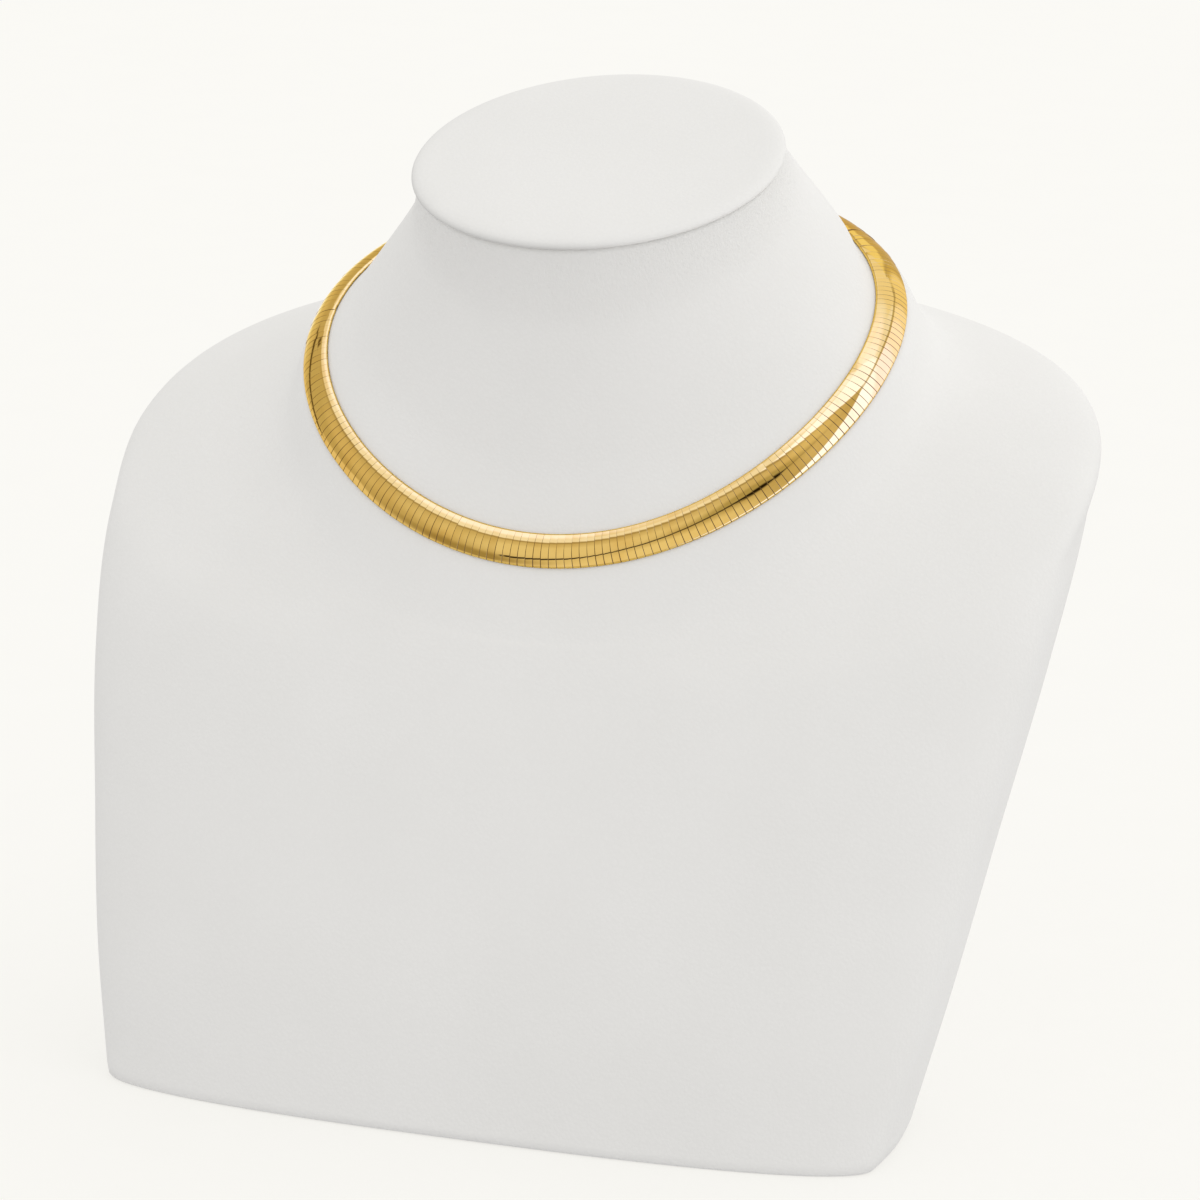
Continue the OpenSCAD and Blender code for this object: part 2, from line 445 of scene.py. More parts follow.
def new_material(name: str) -> tuple[bpy.types.Material, Wiring, bpy.types.Node]:
    """A new material with its wiring and its shader node."""
    made = bpy.data.materials.new(name)
    made.use_nodes = True
    return made, Wiring(made.node_tree), made.node_tree.nodes["Principled BSDF"]


@dataclass
class Effects:
    """The shared shader groups."""

    grain: Effect = field(default_factory=leather_grain)
    polish: Effect = field(default_factory=polish_wear)
    seam: Effect = field(default_factory=seam_shadow)


@dataclass(frozen=True)
class PolishedGold:
    """Polished yellow gold."""

    name: str = "polished_gold"
    colour: Colour = (0.87, 0.60, 0.148)
    deep: Colour = (0.80, 0.50, 0.10)
    glance: Colour = (1.0, 0.88, 0.56)
    seam: Colour = (0.16, 0.085, 0.02)
    seam_width: float = 0.0
    plate_tone: float = 0.35
    smear: float = 1.0
    wave: float = 0.00001

    def material(self, effects: Effects) -> bpy.types.Material:
        """Builds the material.

        Args:
            effects: The shared shader groups.

        Returns:
            The new material.
        """
        made, w, shader = new_material(self.name)
        shader.inputs["Metallic"].default_value = 1.0
        shader.inputs["Specular Tint"].default_value = (*self.glance, 1.0)
        place = w.add("ShaderNodeTexCoord").outputs["Object"]
        polish = effects.polish.place(w, Place=place, Smear=self.smear)
        colour = w.blend(polish.outputs["Tarnish"], self.colour, self.deep)
        if self.seam_width > 0:
            lay = w.add("ShaderNodeUVMap", uv_map="lay")
            along = w.add("ShaderNodeSeparateXYZ", {0: lay.outputs[0]}).outputs["X"]
            seam = effects.seam.place(w, Along=along, Width=self.seam_width)
            tone = w.times(seam.outputs["Tone"], self.plate_tone)
            toned = w.blend(tone, colour, self.deep)
            colour = w.blend(seam.outputs["Mask"], toned, self.seam)
        w.feed(shader.inputs["Base Color"], colour)
        w.feed(shader.inputs["Roughness"], polish.outputs["Roughness"])
        bump = w.add("ShaderNodeBump", {"Height": polish.outputs["Height"], "Distance": self.wave})
        w.feed(shader.inputs["Normal"], bump.outputs[0])
        return made


@dataclass(frozen=True)
class Leatherette:
    """White leatherette with a fine pebbled grain.

    The texture position runs down from the cover's upper end, or down the disc's rim, in
    millimetres. The fold gives the limits there between which the painted shadow of the seam
    sets in. The painted rim shade is painted shade low on the rim, at the front and left, where
    the rim turns from the light. The grain shade is painted shade in the hollows of the grain.
    The gathers are the height of the creases that run down from the cover's upper end.
    """

    fold: Pair
    name: str = "white_leatherette"
    colour: Colour = (0.872, 0.865, 0.847)
    shade: Colour = (0.855, 0.848, 0.829)
    grain_shade: Colour = (0.79, 0.782, 0.762)
    # painted shade in the hollows of the grain
    grain_shade_share: float = 0.12
    pebble: float = 1.0
    depth: float = 0.00006
    roughness: Pair = (0.5, 0.62)
    # painted shadow along the seam between disc and cover
    seam_shadow_colour: Colour = (0.76, 0.75, 0.73)
    fold_ragged: float = 0.9
    gathers: float = 0.0
    gather_scale: Triple = (1.1, 400.0, 1.0)
    # share of painted shade low on the rim, at the front and left
    painted_rim_shade: float = 0.0

    def material(self, effects: Effects) -> bpy.types.Material:
        """Builds the material.

        Args:
            effects: The shared shader groups.

        Returns:
            The new material.
        """
        made, w, shader = new_material(self.name)
        shader.inputs["Specular IOR Level"].default_value = 0.0
        place = w.add("ShaderNodeTexCoord").outputs["Object"]
        grain = effects.grain.place(w, Place=place, Pebble=self.pebble)
        lay = w.add("ShaderNodeUVMap", uv_map="lay").outputs[0]
        parts = w.add("ShaderNodeSeparateXYZ", {0: lay})
        run, turn = parts.outputs["X"], parts.outputs["Y"]
        colour = w.blend(w.step(grain.outputs["Clouds"], 0.3, 0.75), self.colour, self.shade)
        # painted shade: the hollows of the grain are darkened
        grain_shade_mask = w.times(grain.outputs["Pores"], self.grain_shade_share)
        colour = w.blend(grain_shade_mask, colour, self.grain_shade)
        # painted shade: the rim's front and left are darkened towards black, where the rim turns from
        # the light
        left = w.maths("SUBTRACT", w.step(turn, 0.55, 0.8), w.step(turn, 0.0, 0.1, -1.0, 0.0), True)
        painted_rim_shade = w.times(w.times(w.step(run, 0.2, 1.9), left), self.painted_rim_shade)
        colour = w.blend(painted_rim_shade, colour, (0.0, 0.0, 0.0))
        # painted shadow along the seam under the disc, with a ragged edge
        ragged = w.minus(w.noise(place, 260.0, 4.0, 0.75), 0.5)
        line = w.plus(run, w.times(ragged, self.fold_ragged))
        colour = w.blend(w.step(line, *self.fold), colour, self.seam_shadow_colour)
        w.feed(shader.inputs["Base Color"], colour)
        height = grain.outputs["Height"]
        low, high = self.roughness
        w.feed(shader.inputs["Roughness"], w.step(height, 0.1, 0.9, high, low))
        if self.gathers > 0:
            turned = w.add("ShaderNodeMapping", {"Vector": lay, "Scale": self.gather_scale})
            ridges = w.noise(turned.outputs[0], 1.0, 3.0, 0.7)
            ridges = w.times(ridges, w.step(run, 20.0, 2.0))
            height = w.plus(height, w.times(ridges, self.gathers))
        bump = w.add("ShaderNodeBump", {"Height": height, "Distance": self.depth, "Strength": 0.6})
        w.feed(shader.inputs["Normal"], bump.outputs[0])
        return made


def dress(piece: bpy.types.Object, finish: bpy.types.Material, slot: Slot, *nodes: str) -> None:
    """Gives a piece its finish, its body and the nodes that it stands for.

    Args:
        piece: The piece.
        finish: Its material.
        slot: The record's slot of that finish; not used.
        nodes: The CAD nodes that it replaces.
    """
    piece.data.materials.clear()
    piece.data.materials.append(finish)
    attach(piece, "root")
    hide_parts(*nodes)
    LOG.info("%s: %d faces, stands for %s", piece.name, len(piece.data.polygons), ", ".join(nodes))


# ---- the necklace


@dataclass
class OmegaBand:
    """The band of close plates, fused into one closed strip with a groove at each joint.

    A step of the profile has its share of the half pitch, its depth as a share of the groove and
    the normal's slope. Kinks and loose runs name their first and last plate, then the first and
    last lean in degrees, or the spread of the leans.
    """

    loop: LoopPath
    section: DomeSection = field(default_factory=DomeSection)
    plates: int = 215
    groove: float = 0.08
    tilt_spread: float = 0.12
    facet_round: float = 0.9
    seed: int = 8
    kinks: tuple[tuple[int, int, float, float], ...] = (
        (88, 102, 0.0, -3.4), (139, 139, 1.2, 1.2), (140, 140, -1.6, -1.6),
    )
    loose: tuple[tuple[int, int, float], ...] = ((92, 101, 0.6), (181, 196, 1.0), (36, 58, 0.7))
    profile: tuple[Triple, ...] = (
        (-0.975, 0.8, -1.2), (-0.955, 0.2, -0.5), (-0.93, 0.0, 0.0),
        (0.93, 0.0, 0.0), (0.955, 0.2, 0.5), (0.975, 0.8, 1.2),
    )

    def build(self) -> bpy.types.Object:
        """Builds the fused band.

        Returns:
            The band's object.
        """
        rng = np.random.default_rng(self.seed)
        outer, outer_n = self.section.outer()
        inner, inner_n = self.section.inner()
        flat, flat_n = np.vstack([outer, inner]), np.vstack([outer_n, inner_n])
        skin_depth = np.repeat([1.0, 0.0], [len(outer), len(inner)])[:, None]
        rings, normals, lengths = [], [], []
        half = PITCH / 2

        def lay(at: float, plate: int, inset: float, slope: float, tilt: Array, part: float) -> None:
            """Adds one ring at a share of the half pitch from the middle of a plate."""
            middle = (plate - (self.plates - 1) / 2) * PITCH
            angle = np.array(self.loop.angle_at(middle + part * half))
            x, y, z = self.loop.axes(angle)
            cos, sin = math.cos(tilt[1]), math.sin(tilt[1])
            x, y = x * cos + y * sin, y * cos - x * sin
            shaped = flat - flat_n * (skin_depth * inset)
            base = self.loop.point(angle) + (at - part) * half * z
            rings.append(base + shaped[:, :1] * x + shaped[:, 1:] * y)
            lean = slope + tilt[0] + self.facet_round * at * self.bend(middle)
            normals.append(unit(flat_n[:, :1] * x + flat_n[:, 1:] * y + lean * skin_depth * z))
            lengths.append(plate + 0.5 + at / 2)

        last = self.plates - 1
        for plate in range(self.plates):
            tilt = self.tilt(plate, rng.normal(0, 1, 2))
            # the strip starts at the first plate's inner side and ends at the last one's
            for at, depth, slope in self.profile:
                if not (plate == 0 and at < 0 or plate == last and at > 0):
                    lay(at, plate, depth * self.groove, slope, tilt, 0.0)
            if plate < last:
                lay(1.0, plate, self.groove, 0.0, np.zeros(2), 1.0)
        return Skin(np.array(rings), np.array(lengths), np.array(normals)).piece("omega_band")

    def tilt(self, plate: int, chance: Array) -> Array:
        """How far one plate leans along and across the band.

        Args:
            plate: Its number.
            chance: Two numbers drawn for it, spread evenly about nought.

        Returns:
            The two leans in radians.
        """
        spreads = [spread for first, last, spread in self.loose if first <= plate <= last]
        lean = chance * max([self.tilt_spread] + spreads)
        for first, last, start, end in self.kinks:
            if first <= plate <= last:
                lean[0] += start + (end - start) * (plate - first) / max(last - first, 1)
        return np.radians(lean)

    def bend(self, middle: float) -> float:
        """How far the band turns in half a pitch at a length, in radians."""
        angles = self.loop.angle_at(np.array([middle - PITCH / 2, middle + PITCH / 2]))
        _, _, along = self.loop.axes(angles)
        return float(np.arccos(np.clip(np.dot(along[0], along[1]), -1, 1))) / 2


@dataclass
class Fastening:
    """End caps and clasp at the back of the neck."""

    loop: LoopPath
    cap_length: float = 4.6
    clasp_length: float = 8.8
    gap: float = 0.15
    bevel: float = 0.35
    cap: DomeSection = field(default_factory=lambda: DomeSection(width=8.1, rise=1.25))
    clasp: DomeSection = field(default_factory=DomeSection)

    def bar(self, name: str, section: DomeSection, start: float, length: float) -> bpy.types.Object:
        """Builds one solid domed bar with rounded ends.

        Args:
            name: The piece's name.
            section: Its outer section.
            start: Length along the loop where it starts.
            length: Its own length.

        Returns:
            The bar's object.
        """
        outline, slopes = section.outer()
        ends = [(0.0, 1.0), (0.1, 0.5), (0.3, 0.15), (1.0, 0.0)]
        steps = [(b * self.bevel, c) for b, c in ends]
        steps += [(t, 0.0) for t in np.linspace(self.bevel, length - self.bevel, 10)[1:-1]]
        steps += [(length - b * self.bevel, c) for b, c in reversed(ends)]
        rings = []
        for at, inset in steps:
            angle = np.array(self.loop.angle_at(start + at))
            x, y, _ = self.loop.axes(angle)
            shaped = outline - slopes * inset * self.bevel
            rings.append(self.loop.point(angle) + shaped[:, :1] * x + shaped[:, 1:] * y)
        lengths = np.array([at / PITCH for at, _ in steps])
        return Skin(np.array(rings), lengths).piece(name)

    def build(self) -> list[tuple[bpy.types.Object, str]]:
        """Builds the two caps and the clasp.

        Returns:
            Each object with the CAD node that it stands for.
        """
        whole, long = self.loop.length(), self.clasp_length
        plate_end = (whole - long - 2 * (self.cap_length + self.gap)) / 2 - self.gap
        reach = self.cap_length - self.gap
        return [
            (self.bar("cap_left", self.cap, -plate_end - self.cap_length, reach), "end_cap_left"),
            (self.bar("cap_right", self.cap, plate_end + self.gap, reach), "end_cap_right"),
            (self.bar("back_clasp", self.clasp, (whole - long) / 2, long), "clasp"),
        ]


# ---- the bust


@dataclass
class NeckBust:
    """Shoulders, neck and top disc, lofted through a few slanting rings.

    The disc's middle is given in shares of the half depth and the height, a row of the neck as
    its share of the height and the band's share in its outline, a row of the rim as depth and
    inset in shares of the thickness, and a row of the foot as inset and height in millimetres.
    """

    loop: LoopPath
    half_width: float = 115.0
    half_depth: float = 51.0
    height: float = 220.0
    flare_length: float = 18.4
    flare_drop: float = 12.4
    disc_width: float = 86.0
    disc_depth: float = 76.8
    disc_thickness: float = 2.3
    disc_tilt: float = 20.6
    disc_middle: Triple = (0.0, 0.625, 0.9415)
    disc_gap: float = 0.15
    disc_steps: int = 28
    seat: float = 0.65
    seat_rows: tuple[float, ...] = (-5.0, -4.0, 0.0, 4.0, 5.0)
    hollow: float = 5.712
    collar_inset: float = 1.0
    points: int = 192
    ring_step: float = 1.5
    chest: tuple[tuple[float, ...], ...] = (
        (-1.00, 0.000, 1.00, 0.000, 0.805, -0.69, 2.4, 0.000),
        (-0.90, 0.114, 1.12, 0.150, 0.863, -0.48, 2.5, 0.009),
        (-0.735, 0.236, 1.355, 0.327, 0.914, -0.225, 2.6, 0.013),
        (-0.55, 0.351, 1.69, 0.497, 0.969, 0.095, 2.6, 0.038),
        (-0.40, 0.429, 2.035, 0.648, 1.000, 0.44, 2.4, 0.062),
        (-0.317, 0.470, 2.29, 0.730, 0.983, 0.727, 2.0, 0.070),
    )
    neck: Pairs = ((0.24, 0.73), (0.69, 0.195), (0.88, 0.05))
    rim: Pairs = (
        (0.00, 1.70), (0.05, 1.10), (0.17, 0.56), (0.38, 0.16),
        (0.62, 0.00), (0.82, 0.04), (0.95, 0.16), (1.00, 0.34),
    )
    disc_top: tuple[float, ...] = (5.0, 9.0, 18.0, 28.0, 36.0)
    disc_under: Pairs = ((14.0, 2.0), (5.0, 1.5))
    foot_radius: float = 1.6
    foot: Pairs = ((12.0, 0.0), (4.0, 0.0), (1.6, 0.0), (0.75, 0.22), (0.22, 0.75))

    def angles(self) -> Array:
        """Angles of the points in a ring, in degrees."""
        return np.arange(self.points) * 360.0 / self.points

    def chest_ring(self, row: tuple[float, ...]) -> Array:
        """One slanting ring of the chest.

        Args:
            row: Front y and z, back y and z, widest x and y, roundness and side lift, as shares.

        Returns:
            The ring's points.
        """
        front_y, front_z, back_y, back_z, widest, widest_y, roundness, lift = row
        a = np.radians(self.angles())
        x = np.sign(np.sin(a)) * np.abs(np.sin(a)) ** (2 / roundness)
        u = np.sign(np.cos(a)) * np.abs(np.cos(a)) ** (2 / roundness)
        share = (widest_y - front_y) / (back_y - front_y)
        t = np.where(u > 0, share * (1 - u), share - (1 - share) * u)
        y = self.half_depth * (front_y + (back_y - front_y) * t)
        z = self.height * (front_z + (back_z - front_z) * t + lift * x * x)
        return np.stack([self.half_width * widest * x, y, z], -1)

    def flare_ring(self) -> Array:
        """Ring where the neck's flare meets the shoulders."""
        a = self.angles()
        across, out, _ = self.loop.axes(a)
        fall = self.seat + self.flare_drop * (1 - np.cos(np.radians(a))) / 2
        return self.loop.point(a) - self.flare_length * across - fall[:, None] * out

    def disc_ring(self, depth: float, inset: float) -> Array:
        """Ring of the top disc, by depth under its top face and inset from its outline."""
        a = np.radians(self.angles())[:, None]
        tilt = math.radians(self.disc_tilt)
        back = np.array([0.0, math.cos(tilt), math.sin(tilt)])
        up = np.array([0.0, -math.sin(tilt), math.cos(tilt)])
        side = np.array([1.0, 0.0, 0.0])
        middle = np.array([0.0, self.half_depth, self.height]) * self.disc_middle
        wide, deep = self.disc_width / 2 - inset, self.disc_depth / 2 - inset
        return middle + wide * np.sin(a) * side - deep * np.cos(a) * back - depth * up

    def rows(self) -> list[Array]:
        """The chosen rings, from the base to under the disc."""
        seats = [self.loop.spot(self.angles(), across, -self.seat) for across in self.seat_rows]
        low, top = seats[-1], self.disc_ring(self.disc_thickness + self.disc_gap, self.collar_inset)
        necks = []
        for height, share in self.neck:
            ring = top * (1 - share) + low * share
            ring[:, 1] += self.hollow * math.sin(math.pi * height)
            ring[:, 2] = top[:, 2] * height + low[:, 2] * (1 - height)
            necks.append(ring)
        return [self.chest_ring(r) for r in self.chest] + [self.flare_ring()] + seats + necks + [top]

    def form(self) -> bpy.types.Object:
        """Builds the shoulders and neck.

        Returns:
            The bust's object.
        """
        rows = self.rows()
        gaps = [float(np.linalg.norm(b - a, axis=1).mean()) for a, b in zip(rows, rows[1:])]
        keys = np.concatenate([[0.0], np.cumsum(gaps)])
        sides = [(max(i - 1, 0), min(i + 1, len(gaps))) for i in range(len(rows))]
        slopes = [(rows[b] - rows[a]) / (keys[b] - keys[a]) for a, b in sides]
        rings, lengths = [], []
        for i, gap in enumerate(gaps):
            steps = max(1, round(gap / self.ring_step))
            for k in range(steps):
                t = k / steps
                rings.append(hermite(t, rows[i], rows[i + 1], gap * slopes[i], gap * slopes[i + 1]))
                lengths.append(keys[-1] - keys[i] - t * gap)
        rings.append(rows[-1])
        lengths.append(0.0)
        rings, lengths = self.round_foot(rings, lengths)
        return Skin(np.array(rings), np.array(lengths)).piece("bust_cover")

    def round_foot(self, rings: list[Array], lengths: list[float]) -> tuple[list[Array], list[float]]:
        """Rounds the edge at the base and draws the cover in under it.

        Args:
            rings: Rings from the base upwards.
            lengths: Their texture positions.

        Returns:
            The rings and positions with the rounded foot in front.
        """
        edge = rings[0]
        inward = unit((edge.mean(0) - edge) * np.array([1.0, 1.0, 0.0]))
        made, places = [], []
        for inset, rise in self.foot:
            ring = edge + inward * inset
            ring[:, 2] = rise
            made.append(ring)
            places.append(lengths[0] + inset)
        kept = [(r, at) for r, at in zip(rings, lengths) if r[:, 2].min() >= self.foot_radius]
        return made + [r for r, _ in kept], places + [at for _, at in kept]

    def disc(self) -> bpy.types.Object:
        """Builds the oval top disc with its rounded rim.

        Returns:
            The disc's object.
        """
        thick = self.disc_thickness
        depths, insets = np.array(self.rim).T * thick
        run = np.concatenate([[0], np.cumsum(np.hypot(np.diff(depths), np.diff(insets)))])
        fine = np.linspace(0, run[-1], self.disc_steps)[::-1]
        rows = [(thick, inset, thick + extra) for inset, extra in self.disc_under]
        depths, insets = smooth_curve(run, depths, fine), smooth_curve(run, insets, fine)
        rows += [(depth, inset, depth) for depth, inset in zip(depths, insets)]
        rows += [(0.0, inset, 0.0) for inset in self.disc_top]
        rings = np.array([self.disc_ring(float(depth), float(inset)) for depth, inset, _ in rows])
        return Skin(rings, np.array([at for *_, at in rows])).piece("disc_cover")


# ---- the studio


@dataclass(frozen=True)
class Panel:
    """A soft-edged panel of the studio as polished metal sees it, in degrees.

    Azimuth 0 is in front of the bust and 90 on its +X side.
    """

    azimuth: Pair
    elevation: Pair
    colour: Colour
    soft: float = 3.0
    skew: float = 0.0
    rake: float = 0.0
    share: float = 1.0


@dataclass(frozen=True)
class Glow:
    """A soft oval patch of light or dark in the studio, in degrees."""

    azimuth: float
    elevation: float
    wide: float
    high: float
    colour: Colour
    share: float = 1.0


def panel_mask() -> Effect:
    """Soft rectangle of directions, its sides raked by elevation and its edges by azimuth."""
    takes = ("Azimuth", "Elevation", "Left", "Right", "Low", "High", "Soft", "Skew", "Rake")
    effect = Effect("panel_mask", dict.fromkeys(takes, 0.0), ("Mask",))
    w, ins = effect.wiring, effect.ins
    azimuth = w.minus(ins["Azimuth"], w.times(ins["Elevation"], ins["Skew"]))
    elevation = w.minus(ins["Elevation"], w.times(ins["Azimuth"], ins["Rake"]))
    sides = []
    for value, low, high in ((azimuth, "Left", "Right"), (elevation, "Low", "High")):
        reach = w.plus(ins[low], ins["Soft"])
        rise = w.step(value, ins[low], reach)
        fall = w.step(value, w.minus(ins[high], ins["Soft"]), ins[high])
        sides.append(w.times(rise, w.minus(1.0, fall)))
    return effect.give(Mask=w.times(sides[0], sides[1]))


def glow_mask() -> Effect:
    """Soft oval of directions."""
    takes = ("Azimuth", "Elevation", "Middle", "Height", "Wide", "High")
    effect = Effect("glow_mask", dict.fromkeys(takes, 0.0), ("Mask",))
    w, ins = effect.wiring, effect.ins
    x = w.maths("DIVIDE", w.minus(ins["Azimuth"], ins["Middle"]), ins["Wide"])
    y = w.maths("DIVIDE", w.minus(ins["Elevation"], ins["Height"]), ins["High"])
    away = w.maths("SQRT", w.plus(w.times(x, x), w.times(y, y)))
    return effect.give(Mask=w.minus(1.0, w.step(away, 0.25, 1.0)))


@dataclass
class Studio:
    """Pale floor, soft surrounding light and the camera."""

    pale: Colour = (0.956, 0.947, 0.913)
    paper_matt: float = 0.36
    paper_glow: float = 0.655
    paper_back: float = 0.385
    paper_fibre: float = 0.97
    level: float = 1.108
    slant: Triple = (0.185, 0.132, -0.173)
    tint: Colour = (1.0, 0.995, 0.985)
    bounce: Colour = (0.956, 0.956, 0.965)
    paper: Colour = (0.956, 0.941, 0.884)
    eye: Triple = (0.5172, -1.2466, 0.4478)
    target: Triple = (0.00836, 0.01292, 0.10912)
    lens: float = 186.5
    wall: Colour = (0.62, 0.57, 0.56)
    glows: tuple[Glow, ...] = (
        Glow(3, 30, 34, 18, (0.50, 0.47, 0.42)),
        Glow(0, -24, 130, 22, (0.92, 0.90, 1.15)),
        Glow(6, -8, 40, 26, (0.93, 0.92, 1.12)),
        Glow(-22, 25, 22, 40, (0.88, 0.87, 1.07)),
        Glow(-8, 47, 40, 14, (0.72, 0.68, 0.78), 0.8),
        Glow(28, 49, 44, 16, (0.82, 0.76, 0.82)),
        Glow(54, 26, 26, 30, (0.78, 0.72, 0.80), 0.8),
        Glow(-37, -13, 24, 18, (0.40, 0.35, 0.28)),
        Glow(-75, 22, 30, 40, (0.61, 0.565, 0.53), 0.8),
        Glow(-52, 28, 24, 28, (0.78, 0.72, 0.74), 0.8),
        Glow(-125, 12, 24, 30, (0.84, 0.80, 0.90), 0.8),
        Glow(-150, 0, 34, 22, (1.14, 1.31, 1.87)),
        Glow(17, 22, 12, 9, (0.02, 0.015, 0.01)),
    )
    panels: tuple[Panel, ...] = (
        Panel((-180, -150), (-20, 60), (0.66, 0.58, 0.52), 8),
        Panel((172, 200), (-20, 60), (0.70, 0.63, 0.52), 5),
        Panel((53, 106), (-60, 76), (1.4, 1.75, 5.6), 3, 0.57),
        Panel((98, 140), (-60, 90), (1.35, 1.45, 4.3), 8),
        Panel((124, 156), (-60, 90), (1.28, 1.33, 3.05), 8),
        Panel((146, 164), (-60, 90), (1.12, 1.14, 1.9), 6),
        Panel((158, 179), (-60, 90), (1.02, 1.00, 1.25), 5),
        Panel((-179, -156), (26, 45), (1.02, 1.00, 1.00), 4),
        Panel((-142, -58), (-60, 0), (0.90, 0.86, 1.00), 5),
        Panel((-99, -89), (-8, 36), (0.12, 0.09, 0.05), 4, -0.41),
        Panel((-102, -95), (38, 50), (0.16, 0.12, 0.07), 3),
    )
    ceiling: Pairs = (
        (-178, 42), (-150, 46), (-110, 51), (-75, 52), (-50, 51.6), (-44, 52.1), (-40, 52.6),
        (-33, 54.0), (-30, 55.0), (-13, 57.2), (0, 58.3), (20, 59.8), (36, 60.3), (48, 59),
        (60, 56.5), (75, 53.5), (89, 51.5), (117, 54.5), (143, 50), (161, 43), (178, 40),
    )
    border_colour: Colour = (0.44, 0.40, 0.40)
    border_drop: float = 3.0
    border_width: Pair = (1.0, 3.5)
    border: Pairs = (
        (-178, 0.0), (-120, 0.0), (-60, 0.5), (-45, 0.8), (-15, 0.8), (0, 0.2), (60, 0.0), (178, 0.0),
    )
    lids: tuple[Panel, ...] = (
        Panel((-200, 250), (0, 200), (1.06, 1.18, 2.4), 6),
        Panel((100, 250), (60, 150), (1.32, 1.46, 3.8), 9),
        Panel((-200, -120), (60, 150), (1.30, 1.42, 3.4), 9),
        Panel((-100, -28), (70, 190), (1.32, 1.50, 4.0), 9, 0.0, 0.21),
        Panel((-125, -56), (0, 64), (0.90, 0.84, 1.05), 7, 0.0, 0.0, 0.5),
        Panel((157, 250), (0, 62), (1.00, 1.02, 1.50), 8),
        Panel((-200, -148), (0, 62), (1.00, 1.02, 1.50), 8),
        Panel((-30, 118), (0, 200), (1.4, 1.68, 5.0), 12),
    )
    line: Pairs = (
        (-30, -5), (-26, -3), (-24, -2), (-20, 1), (-17, 2.5), (-14, 7), (-12, 10), (-6, 15),
        (3, 20), (10, 22), (19, 23), (27, 27), (35, 33), (45, 38), (57, 43), (72, 46), (89, 50),
        (117, 54.5), (143, 50), (161, 43), (169, 38.5),
    )
    line_width: Pair = (1.9, 3.0)
    line_depth: Pairs = (
        (-30, 0.0), (-27, 0.0), (-25.5, 0.95), (-14, 0.9), (-6, 0.85), (3, 0.8), (10, 0.97), (20, 1.0),
        (28, 0.3), (50, 0.12), (72, 0.3), (88, 0.75), (111, 0.9), (138, 1.0), (168, 1.0), (178, 0.0),
    )
    ink: Colour = (0.02, 0.014, 0.008)
    brown: Colour = (0.60, 0.58, 0.66)
    brown_from: Pair = (35.0, 62.0)

    def curve(self, w: Wiring, azimuth: Socket, points: Pairs, top: float, drop: float = 0.0) -> Socket:
        """Value of a drawn curve over azimuth.

        Args:
            w: The tree's wiring.
            azimuth: Azimuth in degrees.
            points: Azimuth and value of each point.
            top: Largest value that the curve can hold.
            drop: How far its smallest value lies under nought.

        Returns:
            The socket with the value.
        """
        feeds = {"Value": azimuth, "From Min": -180.0, "From Max": 180.0}
        share = w.add("ShaderNodeMapRange", feeds).outputs[0]
        node = w.add("ShaderNodeFloatCurve", {"Value": share})
        track = node.mapping.curves[0]
        places = [((a + 180) / 360, max((v + drop) / (top + drop), 0.0)) for a, v in points]
        track.points[0].location = (0.0, places[0][1])
        track.points[1].location = (1.0, places[-1][1])
        for x, y in places:
            track.points.new(x, y)
        for point in track.points:
            point.handle_type = "AUTO_CLAMPED"
        node.mapping.update()
        return w.minus(w.times(node.outputs[0], top + drop), drop)

    def polished(self, w: Wiring, azimuth: Socket, elevation: Socket) -> Socket:
        """Colour of the studio as polished metal sees it.

        Args:
            w: The tree's wiring.
            azimuth: Azimuth in degrees.
            elevation: Elevation in degrees.

        Returns:
            The socket with the colour.
        """
        glow, panel = glow_mask(), panel_mask()

        def lay(seen: Any, pieces: tuple[Panel, ...], over: Any = 1.0) -> Any:
            """Lays panels over what is seen so far."""
            for p in pieces:
                (left, right), (low, high) = p.azimuth, p.elevation
                mask = panel.place(w, Azimuth=azimuth, Elevation=elevation, Left=left, Right=right,
                                   Low=low, High=high, Soft=p.soft, Skew=p.skew, Rake=p.rake)
                share = w.times(w.times(mask.outputs[0], p.share), over)
                seen = w.blend(share, seen, p.colour)
            return seen

        def ring(value: Socket, near: float, far: float) -> Socket:
            """Soft line where a value is close to nought."""
            return w.minus(1.0, w.step(w.maths("ABSOLUTE", value), near, far))

        seen: Any = (*self.wall, 1.0)
        for g in self.glows:
            mask = glow.place(w, Azimuth=azimuth, Elevation=elevation, Middle=g.azimuth,
                              Height=g.elevation, Wide=g.wide, High=g.high).outputs[0]
            seen = w.blend(w.times(mask, g.share), seen, g.colour)
        seen = lay(seen, self.panels)
        edge = w.minus(elevation, self.curve(w, azimuth, self.ceiling, 90.0))
        rim = ring(w.plus(edge, self.border_drop), *self.border_width)
        rim = w.times(rim, self.curve(w, azimuth, self.border, 1.0))
        seen = w.blend(rim, seen, self.border_colour)
        seen = lay(seen, self.lids, w.step(edge, -1.2, 1.2))
        height = self.curve(w, azimuth, self.line, 90.0, 10.0)
        thin = ring(w.minus(elevation, height), *self.line_width)
        thin = w.times(thin, self.curve(w, azimuth, self.line_depth, 1.0))
        dark = w.blend(w.step(azimuth, *self.brown_from), self.ink, self.brown)
        return w.blend(thin, seen, dark)

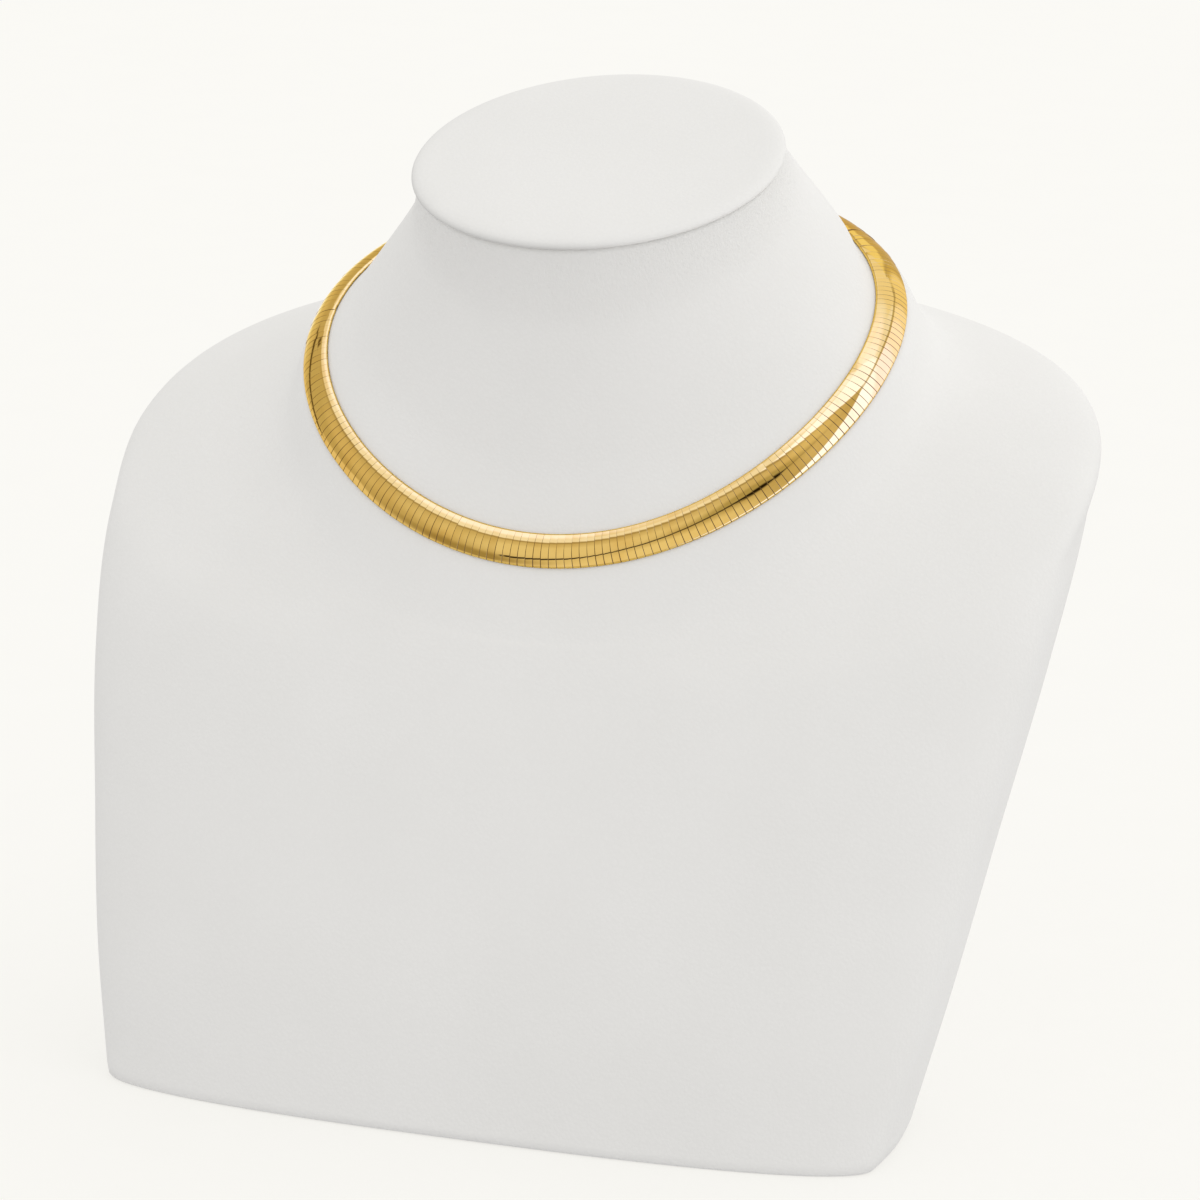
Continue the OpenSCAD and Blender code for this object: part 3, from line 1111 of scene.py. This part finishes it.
    def surround(self) -> None:
        """Builds the world: plain for the camera, a soft slant for matt surfaces, panels for polish."""
        world = bpy.data.worlds.new("soft_studio")
        bpy.context.scene.world = world
        world.use_nodes = True
        world.cycles.sampling_method = "NONE"
        w = Wiring(world.node_tree)
        way = w.add("ShaderNodeTexCoord").outputs["Generated"]
        x, y, z = w.add("ShaderNodeSeparateXYZ", {0: way}).outputs
        azimuth = w.maths("DEGREES", w.maths("ARCTAN2", x, w.times(y, -1.0)))
        elevation = w.maths("DEGREES", w.maths("ARCSINE", z))
        slant: Any = self.level
        for axis, share in zip((x, y, z), self.slant):
            slant = w.plus(slant, w.times(axis, share))
        backs = (
            {"Color": self.polished(w, azimuth, elevation)},
            {"Color": (*self.tint, 1.0), "Strength": slant},
            {"Color": (*self.pale, 1.0)},
        )
        lit, matt, plain = (w.add("ShaderNodeBackground", feeds).outputs[0] for feeds in backs)
        rays = w.add("ShaderNodeLightPath").outputs
        for ray, other in (("Is Diffuse Ray", matt), ("Is Camera Ray", plain)):
            lit = w.add("ShaderNodeMixShader", {0: rays[ray], 1: lit, 2: other}).outputs[0]
        w.tree.nodes.remove(w.tree.nodes["Background"])
        w.feed(w.tree.nodes["World Output"].inputs["Surface"], lit)

    def floor(self) -> None:
        """Builds the pale floor, a wide round sheet."""
        sides = 96
        a = np.radians(np.arange(sides) * 360 / sides)
        edge = ((5990.0, -12.0), (6000.0, -2.0), (5998.0, -0.05), (600.0, -0.05))
        rings = np.array([np.stack([r * np.cos(a), r * np.sin(a), z + 0 * a], -1) for r, z in edge])
        thing = Skin(rings, np.arange(4.0)).piece("floor")
        made, w, shader = new_material("pale_paper")
        shader.inputs["Roughness"].default_value = 0.9
        shader.inputs["Specular IOR Level"].default_value = 0.0
        fibre = w.noise(w.add("ShaderNodeTexCoord").outputs["Object"], 40.0, 2.0)
        dim = tuple(self.paper_matt * c for c in self.bounce)
        dull = tuple(self.paper_fibre * c for c in dim)
        w.feed(shader.inputs["Base Color"], w.blend(fibre, dim, dull))
        rays = w.add("ShaderNodeLightPath").outputs
        camera = rays["Is Camera Ray"]
        w.feed(shader.inputs["Emission Color"], w.blend(camera, self.bounce, self.paper))
        glow = w.times(camera, self.paper_glow - self.paper_back)
        w.feed(shader.inputs["Emission Strength"], w.plus(glow, self.paper_back))
        clear = w.add("ShaderNodeBsdfTransparent").outputs[0]
        seen = {0: rays["Is Glossy Ray"], 1: shader.outputs[0], 2: clear}
        mixed = w.add("ShaderNodeMixShader", seen).outputs[0]
        w.feed(made.node_tree.nodes["Material Output"].inputs["Surface"], mixed)
        thing.data.materials.append(made)

    def camera(self) -> None:
        """Sets up the camera at the photograph's angle."""
        data = bpy.data.cameras.new("camera")
        data.sensor_width = 36.0
        data.lens = self.lens
        data.clip_start, data.clip_end = 0.05, 30.0
        thing = bpy.data.objects.new("camera", data)
        bpy.context.scene.collection.objects.link(thing)
        thing.location = self.eye
        back = Vector(self.eye) - Vector(self.target)
        thing.rotation_euler = back.to_track_quat("Z", "Y").to_euler()
        bpy.context.scene.camera = thing

    def build(self) -> None:
        """Builds the whole studio."""
        self.surround()
        self.floor()
        self.camera()
        bpy.context.scene.view_settings.view_transform = "Standard"
        LOG.info("studio: world, floor and camera")


def main() -> None:
    """Builds the studio, the bust and the necklace."""
    logging.basicConfig(level=logging.INFO, format="%(name)s %(message)s", stream=sys.stdout)
    effects = Effects()
    Studio().build()
    loop = LoopPath()
    bust = NeckBust(loop)
    cover = Leatherette(fold=(-0.4, -0.6), gathers=7.0).material(effects)
    dress(bust.form(), cover, Slot.LEATHERETTE, "bust_form")
    # the disc's rim gets painted shade at its front and left
    rim = Leatherette(name="disc_leatherette", fold=(2.05, 2.3), painted_rim_shade=0.2).material(effects)
    dress(bust.disc(), rim, Slot.LEATHERETTE, "neck_disc")
    plates = PolishedGold(name="plate_gold", seam_width=0.04).material(effects)
    dress(OmegaBand(loop).build(), plates, Slot.GOLD, "omega_plates")
    plain = PolishedGold(name="fastening_gold").material(effects)
    for piece, node in Fastening(loop).build():
        dress(piece, plain, Slot.GOLD, node)
    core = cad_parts["core_strip"]
    core.data.materials.clear()
    core.data.materials.append(PolishedGold(name="core_gold", smear=2.0).material(effects))
    LOG.info("core_strip: kept with its own finish")
    bpy.context.view_layer.update()


if __name__ == "__main__":
    main()
